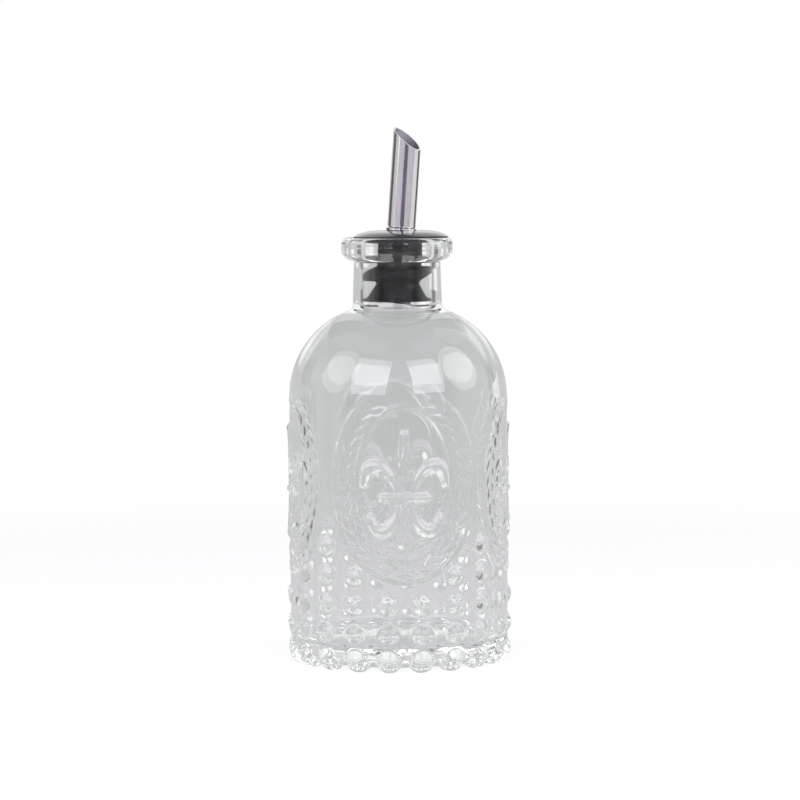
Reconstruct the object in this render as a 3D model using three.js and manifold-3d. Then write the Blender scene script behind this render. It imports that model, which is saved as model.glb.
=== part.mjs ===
// A table dispenser: a pressed-glass bottle with a rubber stopper that carries a slanting steel spout.
// Millimetres, +Z up. The origin is the centre of the foot, on the table; the front medallion faces -Y.

import * as THREE from 'three';
import { mergeVertices } from 'three/addons/utils/BufferGeometryUtils.js';
import Module from 'manifold-3d';

const wasm = await Module();
wasm.setup();

const degrees = THREE.MathUtils.degToRad;

// Glass bottle: the revolved blank
const bottleHeight = 126;
const bodyRadius = 32.5;
const glassWall = 3;
const undersideHeight = 1.2;
const kickRadius = 22;
const kickDepth = 1.8;
const floorThickness = 6;
const heelRadius = 5.5;
const floorFillet = 5;
const shoulderRadius = 27;
const neckFillet = 2;
const throatFillet = 13;
const neckLength = 12.8;
const neckRadiusBottom = 13.3;
const neckRadiusTop = 12.9;
const lipHeight = 7;
const lipRadius = 16.6;
const lipTopRound = 1.8;
const lipBottomRound = 2.8;
const boreRadius = 10.4;
const mouthRound = 0.8;

// Glass bottle: the pressed relief
const columns = 20;
const footBallRadius = 4;
const footBallReach = 0.95;
const footFlatDepth = 0.2;
const beadRadius = 2.75;
const beadHeight = 1.3;
const beadRows = 4;
const beadFirstRow = 11.3;
const beadRowPitch = 8.6;
const medallions = 4;
const medallionGap = 7.6;
const medallionBottom = 27.5;
const medallionRise = 5.6;
const wreathSide = 7.3;
const wreathEnd = 6;
const ridgeHalfWidth = 0.7;
const ridgeHeight = 0.5;
const ridgeRunOut = [0.72, 0.9];
const ridgeSink = 0.2;
const petalHeight = 1.1;
const reliefSink = 0.4;
const drawnHalfWidth = 14.4;
const drawnHalfHeight = 22.5;

// Rubber stopper
const seatGap = 0.3;
const flangeRadius = 14.2;
const flangeEdge = 0.7;
const flangeHeight = 2;
const plugLength = 19.4;
const coreWall = 2.1;
const finGap = 0.3;
const finRoot = 3.6;
const finTip = 1.4;
const finLift = 0.4;
const finDepths = [5.8, 11.8];
const skirtDepth = 14;
const skirtHeight = 5.6;
const skirtRim = 0.9;
const skirtPinch = 0.4;
const skirtHollow = 0.56;
const skirtFlare = [[0.45, 0.29], [0.75, 0.58]];

// Steel spout
const tubeRadius = 4.2;
const tubeWall = 0.5;
const tubeGap = 0.3;
const spoutRise = 48.8;
const spoutLean = 4.1;
const leanDepth = 16;
const beakAngle = 38;
const beakHeading = -31;
const ringProud = 0.4;
const ringHeight = 1.2;
const ringRound = 0.15;
const ringSink = 0.5;
const collarProud = 1.65;
const collarTaper = 0.75;
const collarHeight = 1.2;
const collarRound = 0.2;

// Sizes that follow from the ones above
const shoulderCentre = bodyRadius - shoulderRadius;
const shoulderReach = shoulderRadius + neckFillet;
const shoulderEnd = Math.acos((neckRadiusBottom + neckFillet - shoulderCentre) / shoulderReach);
const shoulderRise = shoulderReach * Math.sin(shoulderEnd);
const lipBottom = bottleHeight - lipHeight;
const neckBottom = lipBottom - neckLength;
const shoulderStart = neckBottom - shoulderRise;
const medallionTop = shoulderStart + medallionRise;
const medallionCentre = (medallionTop + medallionBottom) / 2;
const ovalHalfWidth = Math.PI * bodyRadius / medallions - medallionGap / 2;
const ovalHalfHeight = (medallionTop - medallionBottom) / 2;
const innerHalfWidth = ovalHalfWidth - wreathSide;
const innerHalfHeight = ovalHalfHeight - wreathEnd;
const coreRadius = tubeRadius + coreWall;
const finRadius = boreRadius - finGap;
const ringRadius = tubeRadius + ringProud;
const collarRadius = tubeRadius + collarProud;
const leanOffset = leanDepth * Math.tan(degrees(spoutLean));

// Facets round each kind of form
const bodySteps = 40;
const hollowSteps = 30;
const ballSteps = 8;
const ballRings = 6;
const beadSteps = 7;
const ovalSteps = 26;
const petalSides = 4;
const petalRings = 5;
const flangeSteps = 32;
const finSteps = 20;
const tubeSteps = 24;

/** Points of an arc in a revolve's half-plane, angles in degrees from outward, counter-clockwise. */
function arcPoints(radius, height, arcRadius, from, to, steps) {
  const points = [];
  for (let i = 0; i <= steps; i++) {
    const angle = degrees(from + (to - from) * i / steps);
    points.push(at(radius + arcRadius * Math.cos(angle), height + arcRadius * Math.sin(angle)));
  }
  return points;
}

/** A point of a revolve's half-plane. */
function at(radius, height) {
  return new THREE.Vector2(radius, height);
}

/** Points of a shallow dome from its edge up to its crown on the axis. */
function domePoints(edgeRadius, edgeHeight, rise, steps) {
  const domeRadius = (edgeRadius ** 2 + rise ** 2) / (2 * rise);
  const edge = THREE.MathUtils.radToDeg(Math.acos(edgeRadius / domeRadius));
  return arcPoints(0, edgeHeight + rise - domeRadius, domeRadius, edge, 90, steps);
}

/** A closed outline turned about +Z. */
function revolve(outline, steps) {
  return new THREE.LatheGeometry(outline, steps).rotateX(Math.PI / 2);
}

/** The solid inside a closed geometry, with its faces turned outward. */
function solid(geometry) {
  const bare = geometry.clone();
  bare.deleteAttribute('normal');
  bare.deleteAttribute('uv');
  const merged = mergeVertices(bare, 1e-5);
  const position = merged.attributes.position;
  const triangles = [];
  const corners = [new THREE.Vector3(), new THREE.Vector3(), new THREE.Vector3()];
  let volume = 0;
  for (let i = 0; i < merged.index.count; i += 3) {
    const triangle = [0, 1, 2].map((k) => merged.index.getX(i + k));
    if (new Set(triangle).size < 3) continue;
    triangles.push(triangle);
    triangle.forEach((vertex, k) => corners[k].fromBufferAttribute(position, vertex));
    volume += corners[0].dot(corners[1].cross(corners[2]));
  }
  if (volume < 0) triangles.forEach((triangle) => triangle.reverse());
  return new wasm.Manifold(new wasm.Mesh({
    numProp: 3,
    vertProperties: new Float32Array(position.array),
    triVerts: new Uint32Array(triangles.flat()),
  }));
}

/** A named mesh made from a finished solid. */
function meshOf(name, body, material) {
  const { vertProperties, triVerts } = body.getMesh();
  const geometry = new THREE.BufferGeometry();
  geometry.setAttribute('position', new THREE.BufferAttribute(new Float32Array(vertProperties), 3));
  geometry.setIndex(new THREE.BufferAttribute(new Uint32Array(triVerts), 1));
  geometry.computeVertexNormals();
  const mesh = new THREE.Mesh(geometry, material);
  mesh.name = name;
  return mesh;
}

/** Moves every vertex of a geometry by a function of its position. */
function reshape(geometry, move) {
  const position = geometry.attributes.position;
  const point = new THREE.Vector3();
  for (let i = 0; i < position.count; i++) {
    point.fromBufferAttribute(position, i);
    const moved = move(point);
    position.setXYZ(i, moved.x, moved.y, moved.z);
  }
  return geometry;
}

/** Outside radius of the plain blank at a height on the wall or the lower shoulder. */
function blankRadius(height) {
  const above = Math.max(height - shoulderStart, 0);
  return shoulderCentre + Math.sqrt(shoulderRadius ** 2 - above ** 2);
}

/** Lays a flat ornament on the glass: x runs round it, y up from the medallion's centre, z outward. */
function wrap(geometry, azimuth) {
  return reshape(geometry, (point) => {
    const height = medallionCentre + point.y;
    const radius = blankRadius(height) + point.z;
    const angle = azimuth + point.x / bodyRadius;
    return new THREE.Vector3(radius * Math.cos(angle), radius * Math.sin(angle), height);
  });
}

/** The blank without its hollow. */
function blankOutline() {
  const shoulderTurn = THREE.MathUtils.radToDeg(shoulderEnd);
  return [
    ...domePoints(kickRadius, undersideHeight, kickDepth, 2).reverse(),
    ...arcPoints(bodyRadius - heelRadius, undersideHeight + heelRadius, heelRadius, -90, 0, 3),
    ...arcPoints(shoulderCentre, shoulderStart, shoulderRadius, 0, shoulderTurn, 7),
    ...arcPoints(neckRadiusBottom + neckFillet, neckBottom, neckFillet, 180 + shoulderTurn, 180, 2).slice(1),
    at(neckRadiusTop, lipBottom),
    ...arcPoints(lipRadius - lipBottomRound, lipBottom + lipBottomRound, lipBottomRound, -90, 0, 3),
    ...arcPoints(lipRadius - lipTopRound, bottleHeight - lipTopRound, lipTopRound, 0, 90, 3),
    at(0, bottleHeight),
  ];
}

/** The hollow, from the floor up through the throat and out of the mouth. */
function hollowOutline() {
  const floor = undersideHeight + floorThickness;
  const inside = bodyRadius - glassWall;
  const insideArc = shoulderRadius - glassWall;
  const throatReach = insideArc + throatFillet;
  const throatEnd = Math.acos((boreRadius + throatFillet - shoulderCentre) / throatReach);
  const throatHeight = shoulderStart + throatReach * Math.sin(throatEnd);
  const throatTurn = THREE.MathUtils.radToDeg(throatEnd);
  return [
    at(0, floor),
    ...arcPoints(inside - floorFillet, floor + floorFillet, floorFillet, -90, 0, 3),
    ...arcPoints(shoulderCentre, shoulderStart, insideArc, 0, throatTurn, 6),
    ...arcPoints(boreRadius + throatFillet, throatHeight, throatFillet, 180 + throatTurn, 180, 4).slice(1),
    ...arcPoints(boreRadius + mouthRound, bottleHeight - mouthRound, mouthRound, 180, 90, 2),
    at(boreRadius + mouthRound, bottleHeight + 1),
    at(0, bottleHeight + 1),
  ];
}

/** A domed bead standing on the flat at a point, its foot sunk a little into the glass. */
function bead(x, y) {
  const ballRadius = (beadRadius ** 2 + beadHeight ** 2) / (2 * beadHeight);
  const centre = beadHeight - ballRadius;
  const foot = THREE.MathUtils.radToDeg(Math.asin((-reliefSink - centre) / ballRadius));
  const outline = [at(0, -reliefSink), ...arcPoints(0, centre, ballRadius, foot, 90, 2)];
  return revolve(outline, beadSteps).translate(x, y, 0);
}

/** Half-width that a ridge needs at its sunken foot to show a given half-width where it leaves the glass. */
function sunkWidth(halfWidth, height) {
  return halfWidth * (height + reliefSink) / height;
}

/** A raised ridge that follows an oval and sinks away into the glass towards the oval's top. */
function ovalRidge(halfWidth, halfHeight) {
  const tube = 0.1;
  const [runOutStart, runOutEnd] = ridgeRunOut;
  return reshape(new THREE.TorusGeometry(1, tube, 4, ovalSteps), (point) => {
    const turn = Math.atan2(point.y, point.x);
    const across = (Math.hypot(point.x, point.y) - 1) / tube * sunkWidth(ridgeHalfWidth, ridgeHeight);
    const normal = new THREE.Vector2(Math.cos(turn) / halfWidth, Math.sin(turn) / halfHeight).normalize();
    const sunk = THREE.MathUtils.smoothstep(Math.sin(turn), runOutStart, runOutEnd);
    return new THREE.Vector3(
      halfWidth * Math.cos(turn) + normal.x * across,
      halfHeight * Math.sin(turn) + normal.y * across,
      point.z / tube * (ridgeHeight + reliefSink) - reliefSink - sunk * (ridgeHeight + ridgeSink),
    );
  });
}

/** A swelling petal along a curve on the flat, pointed or blunt at its ends. */
function petal(curve, halfWidth, blunt) {
  return reshape(new THREE.SphereGeometry(1, petalSides, petalRings), (point) => {
    const latitude = Math.acos(THREE.MathUtils.clamp(point.y, -1, 1));
    const along = blunt ? (1 - point.y) / 2 : latitude / Math.PI;
    const centre = curve.getPoint(along);
    const tangent = curve.getTangent(along);
    const across = point.x * sunkWidth(halfWidth, petalHeight);
    return new THREE.Vector3(
      centre.x - tangent.y * across,
      centre.y + tangent.x * across,
      point.z * (petalHeight + reliefSink) - reliefSink,
    );
  });
}

/** The lily flower in the middle of a medallion, as its separate swellings. */
function lilyPieces() {
  const scaled = (x, y) => at(x * innerHalfWidth / drawnHalfWidth, y * innerHalfHeight / drawnHalfHeight);
  const line = (x0, y0, x1, y1) => new THREE.LineCurve(scaled(x0, y0), scaled(x1, y1));
  const bend = (...points) => new THREE.CubicBezierCurve(...points.map(([x, y]) => scaled(x, y)));
  const pieces = [
    petal(bend([0, 0.6], [0, 3.2], [0, 8], [0, 16]), 2.5, false),
    petal(line(-7.4, -4.4, 7.4, -4.4), 1.2, true),
    petal(bend([0, -6.4], [0, -15], [0, -18.4], [0, -20]), 1.9, false),
  ];
  for (const side of [-1, 1]) {
    const curl = bend([side * 2.2, -3.4], [side * 4, 5], [side * 12, 8.6], [side * 12.4, -1.2]);
    const tail = bend([side * 1.8, -5.4], [side * 2.4, -14.5], [side * 9.4, -18], [side * 10.6, -9.4]);
    pieces.push(petal(curl, 1.8, false));
    pieces.push(petal(tail, 1.5, false));
  }
  return pieces;
}

/** Every bead of the wall that stays clear of a medallion, as offsets from that medallion's centre. */
function beadPlaces() {
  const pitch = 2 * Math.PI * bodyRadius / columns;
  const perMedallion = columns / medallions;
  const places = [];
  for (let row = 0; row < beadRows; row++) {
    const y = beadFirstRow + row * beadRowPitch - medallionCentre;
    for (let column = 0; column < perMedallion; column++) {
      const x = (column - Math.floor(perMedallion / 2) + 0.5) * pitch;
      const spread = Math.hypot(x / (ovalHalfWidth + beadRadius), y / (ovalHalfHeight + beadRadius));
      if (spread > 1) places.push([x, y]);
    }
  }
  return places;
}

/** The bottle: blank, foot balls, beads, medallions, then the hollow and the level foot. */
function bottleSolid() {
  let body = solid(revolve(blankOutline(), bodySteps));
  const ballCircle = bodyRadius + footBallReach - footBallRadius;
  for (let column = 0; column < columns; column++) {
    const ball = new THREE.SphereGeometry(footBallRadius, ballSteps, ballRings).rotateX(Math.PI / 2);
    ball.translate(ballCircle, 0, footBallRadius - footFlatDepth);
    ball.rotateZ(2 * Math.PI * (column + 0.5) / columns);
    body = body.add(solid(ball));
  }
  for (let medallion = 0; medallion < medallions; medallion++) {
    const azimuth = -Math.PI / 2 + 2 * Math.PI * medallion / medallions;
    const relief = [
      ovalRidge(ovalHalfWidth, ovalHalfHeight),
      ovalRidge(innerHalfWidth, innerHalfHeight),
      ...lilyPieces(),
      ...beadPlaces().map(([x, y]) => bead(x, y)),
    ];
    for (const piece of relief) body = body.add(solid(wrap(piece, azimuth)));
  }
  const ground = new THREE.BoxGeometry(4 * bodyRadius, 4 * bodyRadius, 10).translate(0, 0, -5);
  return body.subtract(solid(revolve(hollowOutline(), hollowSteps))).subtract(solid(ground));
}

/** Turns a geometry modelled along the spout's axis into the stopper's frame. */
function lean(geometry) {
  return geometry.rotateY(degrees(spoutLean)).translate(0, 0, -leanDepth);
}

/** A plain cylinder along +Z between two heights. */
function cylinder(radius, bottom, top) {
  const shape = new THREE.CylinderGeometry(radius, radius, top - bottom, tubeSteps);
  return shape.rotateX(Math.PI / 2).translate(0, 0, (top + bottom) / 2);
}

/** The stopper, its flange's underside at z = 0: flange, leaning core, fins and skirt, bored for the tube. */
function stopperSolid() {
  const flange = revolve([
    at(0, 0),
    at(flangeRadius - flangeEdge / 2, 0),
    ...domePoints(flangeRadius, flangeEdge, flangeHeight - flangeEdge, 4),
  ], flangeSteps).translate(leanOffset, 0, 0);
  const core = lean(cylinder(coreRadius, leanDepth - plugLength, leanDepth + flangeEdge));
  let body = solid(flange).add(solid(core));
  for (const depth of finDepths) {
    const fin = [
      at(tubeRadius, -depth - finRoot / 2),
      at(coreRadius, -depth - finRoot / 2),
      at(finRadius, -depth - finTip / 2 + finLift),
      at(finRadius, -depth + finTip / 2 + finLift),
      at(coreRadius, -depth + finRoot / 2),
      at(tubeRadius, -depth + finRoot / 2),
      at(tubeRadius, -depth - finRoot / 2),
    ];
    body = body.add(solid(revolve(fin, finSteps)));
  }
  const finReach = finRadius - coreRadius;
  const skirtBottom = -skirtDepth - skirtHeight;
  const skirt = [
    at(tubeRadius, -skirtDepth),
    at(coreRadius - skirtPinch, -skirtDepth),
    ...skirtFlare.map(([down, out]) => at(coreRadius + out * finReach, -skirtDepth - down * skirtHeight)),
    at(finRadius, skirtBottom + skirtRim),
    at(finRadius, skirtBottom),
    at(coreRadius, skirtBottom + skirtHollow),
    at(tubeRadius, skirtBottom + skirtHollow),
    at(tubeRadius, -skirtDepth),
  ];
  body = body.add(solid(revolve(skirt, finSteps)));
  const bore = cylinder(tubeRadius + tubeGap, -plugLength, 2 * leanDepth);
  const underside = cylinder(collarRadius + tubeGap, -plugLength, leanDepth - plugLength);
  const seat = cylinder(ringRadius + tubeGap, leanDepth + flangeHeight - ringSink, 2 * leanDepth);
  for (const cut of [bore, underside, seat]) body = body.subtract(solid(lean(cut)));
  return body;
}

/** The spout along its own axis, z = 0 where it crosses the neck's axis: collar, tube, ring and cut beak. */
function spoutSolid() {
  const collarTop = leanDepth - plugLength - tubeGap;
  const bottom = collarTop - collarHeight;
  const ringBottom = leanDepth + flangeHeight - ringSink + tubeGap;
  const tube = revolve([
    at(tubeRadius - tubeWall, bottom),
    at(collarRadius - collarTaper, bottom),
    at(collarRadius, collarTop - collarRound),
    at(collarRadius - collarRound, collarTop),
    at(tubeRadius, collarTop),
    at(tubeRadius, ringBottom),
    at(ringRadius - ringRound, ringBottom),
    at(ringRadius, ringBottom + ringHeight / 2),
    at(ringRadius - ringRound, ringBottom + ringHeight),
    at(tubeRadius, ringBottom + ringHeight),
    at(tubeRadius, spoutRise),
    at(tubeRadius - tubeWall, spoutRise),
    at(tubeRadius - tubeWall, bottom),
  ], tubeSteps);
  const heading = degrees(beakHeading);
  const slice = new THREE.BoxGeometry(8 * tubeRadius, 8 * tubeRadius, spoutRise);
  slice.translate(0, 0, spoutRise / 2);
  slice.rotateY(degrees(beakAngle)).rotateZ(heading);
  slice.translate(-tubeRadius * Math.cos(heading), -tubeRadius * Math.sin(heading), spoutRise);
  return solid(tube).subtract(solid(slice));
}

const glass = new THREE.MeshStandardMaterial({
  color: 0xdfe6e3, roughness: 0.04, metalness: 0, transparent: true, opacity: 0.35,
});
const rubber = new THREE.MeshStandardMaterial({ color: 0x2a2b2d, roughness: 0.45, metalness: 0 });
const steel = new THREE.MeshStandardMaterial({ color: 0xc9c6ce, roughness: 0.15, metalness: 1 });

const spout = new THREE.Group();
spout.position.z = -leanDepth;
spout.rotation.y = degrees(spoutLean);
spout.add(meshOf('spout_tube', spoutSolid(), steel));

const pourer = new THREE.Group();
pourer.position.z = bottleHeight + seatGap;
pourer.add(meshOf('rubber_stopper', stopperSolid(), rubber), spout);

const dispenser = new THREE.Group();
dispenser.add(meshOf('glass_bottle', bottleSolid(), glass), pourer);

export default dispenser;
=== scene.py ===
"""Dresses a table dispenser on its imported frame: pressed glass bottle, finned rubber stopper, steel spout.

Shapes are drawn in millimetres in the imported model's frame: +Z up, the origin under the middle of the foot,
the front medallion towards -Y, the spout leaning towards +X. Finishes, lamps and camera are in metres.
"""
import logging
from dataclasses import dataclass, field
from enum import Enum
from math import acos, cos, degrees, pi, radians, sin, tan
from typing import Any

import bpy
import numpy as np
from mathutils import Euler, Matrix, Vector


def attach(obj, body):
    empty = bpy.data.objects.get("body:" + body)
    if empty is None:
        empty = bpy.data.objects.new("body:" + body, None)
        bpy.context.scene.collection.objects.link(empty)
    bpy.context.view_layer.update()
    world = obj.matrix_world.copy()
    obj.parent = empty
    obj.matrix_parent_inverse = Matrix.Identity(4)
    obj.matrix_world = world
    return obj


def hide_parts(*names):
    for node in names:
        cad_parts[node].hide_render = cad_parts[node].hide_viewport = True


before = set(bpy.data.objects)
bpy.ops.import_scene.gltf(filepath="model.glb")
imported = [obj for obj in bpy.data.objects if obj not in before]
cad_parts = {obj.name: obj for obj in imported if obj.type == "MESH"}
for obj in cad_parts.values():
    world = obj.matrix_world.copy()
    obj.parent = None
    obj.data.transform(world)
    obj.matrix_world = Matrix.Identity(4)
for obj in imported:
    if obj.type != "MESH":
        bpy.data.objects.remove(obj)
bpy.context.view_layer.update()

MM = 0.001
TINY = 1e-9
CLOSE = 1e-6
BORE_MARK = "bore"
log = logging.getLogger("dispenser")

Pair = tuple[float, float]
Triple = tuple[float, float, float]
Colour = Triple
Four = tuple[float, float, float, float]
WHITE: Colour = (1.0, 1.0, 1.0)


class Body(Enum):
    """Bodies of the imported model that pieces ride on."""

    BOTTLE = "bottle"
    STOPPER = "stopper"
    SPOUT = "spout"


class Slot(Enum):
    """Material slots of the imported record."""

    GLASS = "glass"
    RUBBER = "rubber"
    STEEL = "steel"


class LampShape(Enum):
    """Outlines of the studio's soft lamps."""

    RECTANGLE = "RECTANGLE"
    ROUND = "DISK"


def arc(middle: Pair, half: Pair | float, start: float, end: float, steps: int) -> np.ndarray:
    """Rows of middle + (a cos t, b sin t), half being (a, b) or one radius, t running in degrees."""
    turn = np.radians(np.linspace(start, end, steps + 1))
    return np.array(middle) + np.array(half) * np.column_stack([np.cos(turn), np.sin(turn)])


def line(start: Pair, end: Pair, steps: int) -> np.ndarray:
    """Rows of (radius, height) at even steps on the straight line between two points."""
    return np.linspace(start, end, steps + 1)


def chain(*runs: np.ndarray) -> np.ndarray:
    """Joins runs of points end to end and drops a point that repeats the one before it.

    Args:
        runs: arrays of points.

    Returns:
        One array of points.
    """
    points = np.concatenate(runs)
    step = np.linalg.norm(np.diff(points, axis=0), axis=1)
    return points[np.concatenate([[True], step > CLOSE])]


def outward(points: np.ndarray) -> np.ndarray:
    """Unit normals of an outline: each point's tangent, from its neighbours, turned a quarter to the right.

    Args:
        points: rows of (radius, height), with the solid on the left of the way along them.

    Returns:
        Rows of (radial, upward) parts.
    """
    tangent = np.gradient(points, axis=0)
    normal = np.column_stack([tangent[:, 1], -tangent[:, 0]])
    return normal / np.linalg.norm(normal, axis=1, keepdims=True)


def corner_cut(points: np.ndarray, rounds: int) -> np.ndarray:
    """Rounds a closed outline: in each round an edge keeps its points at a quarter and at three quarters.

    Args:
        points: rows of the outline's corners, of any width.
        rounds: how often the corners are cut.

    Returns:
        The rounded outline, with twice as many rows for each round.
    """
    for _ in range(rounds):
        following = np.roll(points, -1, axis=0)
        pairs = np.stack([0.75 * points + 0.25 * following, 0.25 * points + 0.75 * following], axis=1)
        points = pairs.reshape(-1, points.shape[1])
    return points


def filleted(height: np.ndarray, blend: float) -> np.ndarray:
    """Heights above a wall with a fillet where they leave it: max(h, 0) + blend / 4 (1 - |h| / blend)^2."""
    near = np.clip(1 - np.abs(height) / blend, 0, 1)
    return np.maximum(height, 0.0) + 0.25 * blend * near ** 2


def smooth_step(value: np.ndarray, low: float, high: float) -> np.ndarray:
    """Rises from 0 at low to 1 at high along the cubic 3t^2 - 2t^3."""
    t = np.clip((value - low) / (high - low), 0, 1)
    return t * t * (3 - 2 * t)


def bezier(corners: tuple[Pair, Pair, Pair, Pair], count: int) -> np.ndarray:
    """Points of the cubic curve of four control points, at even steps of its parameter.

    Args:
        corners: the four control points.
        count: number of points.

    Returns:
        Rows of (x, y).
    """
    t = np.linspace(0, 1, count)[:, None]
    a, b, c, d = np.array(corners)
    return (1 - t) ** 3 * a + 3 * t * (1 - t) ** 2 * b + 3 * t ** 2 * (1 - t) * c + t ** 3 * d


def ring_quads(rows: int, columns: int, closed: bool) -> np.ndarray:
    """Corner numbers of the quads of a grid whose columns go round.

    Args:
        rows: number of rings.
        columns: number of points in a ring.
        closed: whether the last ring joins the first.

    Returns:
        Rows of four corner numbers, seen from outside counter-clockwise.
    """
    i = np.arange(rows if closed else rows - 1)[:, None]
    j = np.arange(columns)[None, :]
    up = (i + 1) % rows
    on = (j + 1) % columns
    corners = [i * columns + j, i * columns + on, up * columns + on, up * columns + j]
    return np.stack(corners, axis=-1).reshape(-1, 4)


def mesh_object(name: str, points: np.ndarray, quads: np.ndarray,
                triangles: np.ndarray | None = None) -> bpy.types.Object:
    """Puts points in millimetres and faces into a smooth mesh object at the origin.

    Args:
        name: the piece's name.
        points: rows of (x, y, z).
        quads: rows of four corner numbers.
        triangles: rows of three corner numbers, if there are any.

    Returns:
        The object, linked to the scene.
    """
    triangles = np.zeros((0, 3), int) if triangles is None else triangles
    corners = np.concatenate([quads.ravel(), triangles.ravel()])
    sides = np.concatenate([np.full(len(quads), 4), np.full(len(triangles), 3)])
    starts = np.concatenate([[0], np.cumsum(sides)[:-1]])
    mesh = bpy.data.meshes.new(name)
    mesh.vertices.add(len(points))
    mesh.vertices.foreach_set("co", (points * MM).astype(np.float32).ravel())
    mesh.loops.add(len(corners))
    mesh.loops.foreach_set("vertex_index", corners.astype(np.int32))
    mesh.polygons.add(len(starts))
    mesh.polygons.foreach_set("loop_start", starts.astype(np.int32))
    mesh.polygons.foreach_set("use_smooth", np.ones(len(starts), bool))
    mesh.update(calc_edges=True)
    mesh.validate()
    piece = bpy.data.objects.new(name, mesh)
    bpy.context.scene.collection.objects.link(piece)
    return piece


def ring_object(name: str, rings: np.ndarray) -> bpy.types.Object:
    """A piece from rings x columns x 3 points, its last ring joined to its first."""
    rows, columns, _ = rings.shape
    return mesh_object(name, rings.reshape(-1, 3), ring_quads(rows, columns, True))


def seat(piece: bpy.types.Object, body: Body, node: str, finish: bpy.types.Material) -> None:
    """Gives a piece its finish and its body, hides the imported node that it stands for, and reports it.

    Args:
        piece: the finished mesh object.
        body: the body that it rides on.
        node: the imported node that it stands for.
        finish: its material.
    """
    piece.data.materials.append(finish)
    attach(piece, body.value)
    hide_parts(node)
    faces = sum(len(p.vertices) - 2 for p in piece.data.polygons)
    log.info("%s rides on %s, %d triangles, %s", piece.name, body.value, faces, finish.name)


@dataclass(frozen=True)
class Grain:
    """A noise: cells in a metre, layers of finer detail and how strong these are."""

    scale: float
    detail: float = 2.0
    roughness: float = 0.5


@dataclass(frozen=True)
class Patch:
    """A soft-edged patch of the surround: where it begins, is full, begins to end and has ended."""

    colour: Colour
    heights: Four
    bearings: Four


class NodeGraph:
    """A node tree while it is being wired."""

    def __init__(self, tree: bpy.types.NodeTree) -> None:
        """Empties a node tree to start from."""
        self.tree = tree
        self.tree.nodes.clear()

    def add(self, kind: str, inputs: dict[Any, Any] | None = None, **settings: Any) -> bpy.types.Node:
        """Adds a node and fills it.

        Args:
            kind: Blender's name for the node's type.
            inputs: by socket name or number, another node's output to join, or a value, vector or colour.
            settings: properties of the node.

        Returns:
            The node.
        """
        node = self.tree.nodes.new(kind)
        for key, value in settings.items():
            setattr(node, key, value)
        for key, value in (inputs or {}).items():
            socket = node.inputs[key]
            if isinstance(value, bpy.types.NodeSocket):
                self.tree.links.new(value, socket)
            elif isinstance(value, tuple):
                socket.default_value = (*value, 1.0)[: len(socket.default_value)]
            else:
                socket.default_value = value
        return node

    def place(self) -> bpy.types.NodeSocket:
        """The Object coordinates."""
        return self.add("ShaderNodeTexCoord").outputs["Object"]

    def height(self, place: Any) -> bpy.types.NodeSocket:
        """The upward part of a place."""
        return self.add("ShaderNodeSeparateXYZ", {0: place}).outputs["Z"]

    def stretched(self, place: Any, scale: Triple) -> bpy.types.NodeSocket:
        """A place, scaled along the three axes."""
        return self.add("ShaderNodeMapping", {"Vector": place, "Scale": scale}).outputs[0]

    def maths(self, operation: str, first: Any, second: Any = 0.0) -> bpy.types.NodeSocket:
        """The result of a maths node on two values or sockets."""
        return self.add("ShaderNodeMath", {0: first, 1: second}, operation=operation).outputs[0]

    def ramp(self, value: Any, low: float, high: float, out_low: float = 0.0,
             out_high: float = 1.0) -> bpy.types.NodeSocket:
        """A smooth ramp of a socket from one range into another."""
        sockets = {"Value": value, "From Min": low, "From Max": high, "To Min": out_low, "To Max": out_high}
        return self.add("ShaderNodeMapRange", sockets, interpolation_type="SMOOTHSTEP").outputs[0]

    def window(self, value: Any, edges: Four) -> bpy.types.NodeSocket:
        """A ramp up between the first two edges times a ramp down between the last two."""
        return self.maths("MULTIPLY", self.ramp(value, *edges[:2]), self.ramp(value, *edges[2:], 1.0, 0.0))

    def stops(self, value: Any, table: tuple[Four, ...]) -> bpy.types.NodeSocket:
        """A colour that runs smoothly through the table's rows.

        Args:
            value: place in the table, 0 to 1.
            table: rows of (place, red, green, blue).

        Returns:
            The colour.
        """
        node = self.add("ShaderNodeValToRGB", {0: value})
        node.color_ramp.interpolation = "EASE"
        for i, (place, *colour) in enumerate(table):
            stop = node.color_ramp.elements[i] if i < 2 else node.color_ramp.elements.new(place)
            stop.position = place
            stop.color = (*colour, 1.0)
        return node.outputs[0]

    def noise(self, place: Any, grain: Grain) -> bpy.types.NodeSocket:
        """A noise between 0 and 1."""
        look = {"Scale": grain.scale, "Detail": grain.detail, "Roughness": grain.roughness}
        return self.add("ShaderNodeTexNoise", {"Vector": place, **look}).outputs["Fac"]

    def bump(self, height: Any, strength: Any, depth: float, **under: Any) -> bpy.types.NodeSocket:
        """The normal that a height gives to the surface, or to another normal given as Normal."""
        sockets = {"Height": height, "Strength": strength, "Distance": depth, **under}
        return self.add("ShaderNodeBump", sockets).outputs["Normal"]

    def blend(self, share: Any, first: Any, second: Any) -> bpy.types.NodeSocket:
        """A colour between two colours."""
        return self.add("ShaderNodeMix", {0: share, 6: first, 7: second}, data_type="RGBA").outputs[2]

    def patched(self, under: Any, patch: Patch, height: Any, bearing: Any) -> bpy.types.NodeSocket:
        """A colour with a patch laid over it."""
        upright, sideways = self.window(height, patch.heights), self.window(bearing, patch.bearings)
        return self.blend(self.maths("MULTIPLY", upright, sideways), under, patch.colour)

    def show(self, shader: bpy.types.Node) -> None:
        """Joins a shader to the material's output."""
        self.add("ShaderNodeOutputMaterial", {"Surface": shader.outputs[0]})


def new_material(name: str) -> tuple[bpy.types.Material, NodeGraph]:
    """Makes an empty node material.

    Args:
        name: the finish's name.

    Returns:
        The material and its graph.
    """
    material = bpy.data.materials.new(name)
    material.use_nodes = True
    return material, NodeGraph(material.node_tree)


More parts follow.
